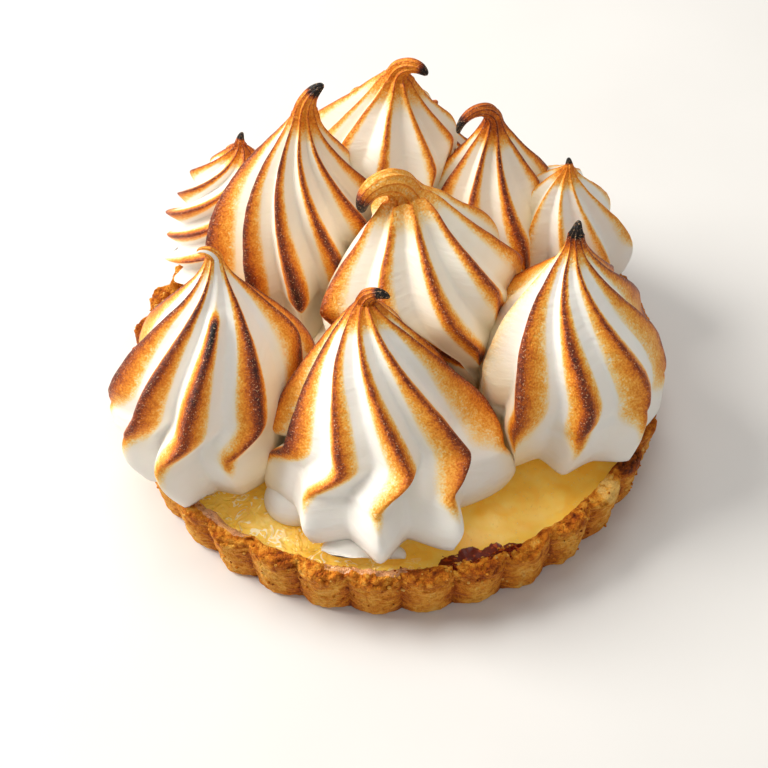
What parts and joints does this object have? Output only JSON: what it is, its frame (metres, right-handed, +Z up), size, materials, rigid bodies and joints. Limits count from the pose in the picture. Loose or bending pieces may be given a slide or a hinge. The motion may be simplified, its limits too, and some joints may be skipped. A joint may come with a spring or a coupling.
{
  "type": "lemon meringue tart",
  "caption": "Round fluted shortcrust tart filled with lemon curd and topped with a close pile of toasted, star-piped meringue swirls.",
  "frame": {"origin": "middle of the crust's flat underside", "axes": "+Z up through the swirls, -Y towards the tart's front as pictured, +X to its right"},
  "size_m": [0.1211, 0.1243, 0.071],
  "materials": {
    "crust": "baked shortcrust pastry, crumbly and slightly oily, darker along the rim",
    "curd": "glossy set lemon curd",
    "meringue": "satin white meringue with flame-toasted brown ridges and charred tips"
  },
  "bodies": {
    "root": {"crust": "crust", "curd": "curd", "meringue_front": "meringue", "meringue_front_left": "meringue", "meringue_front_right": "meringue", "meringue_middle": "meringue", "meringue_left": "meringue", "meringue_back": "meringue", "meringue_right": "meringue", "meringue_far_left": "meringue", "meringue_far_back_left": "meringue", "meringue_far_back_right": "meringue", "meringue_far_right": "meringue"}
  },
  "joints": []
}
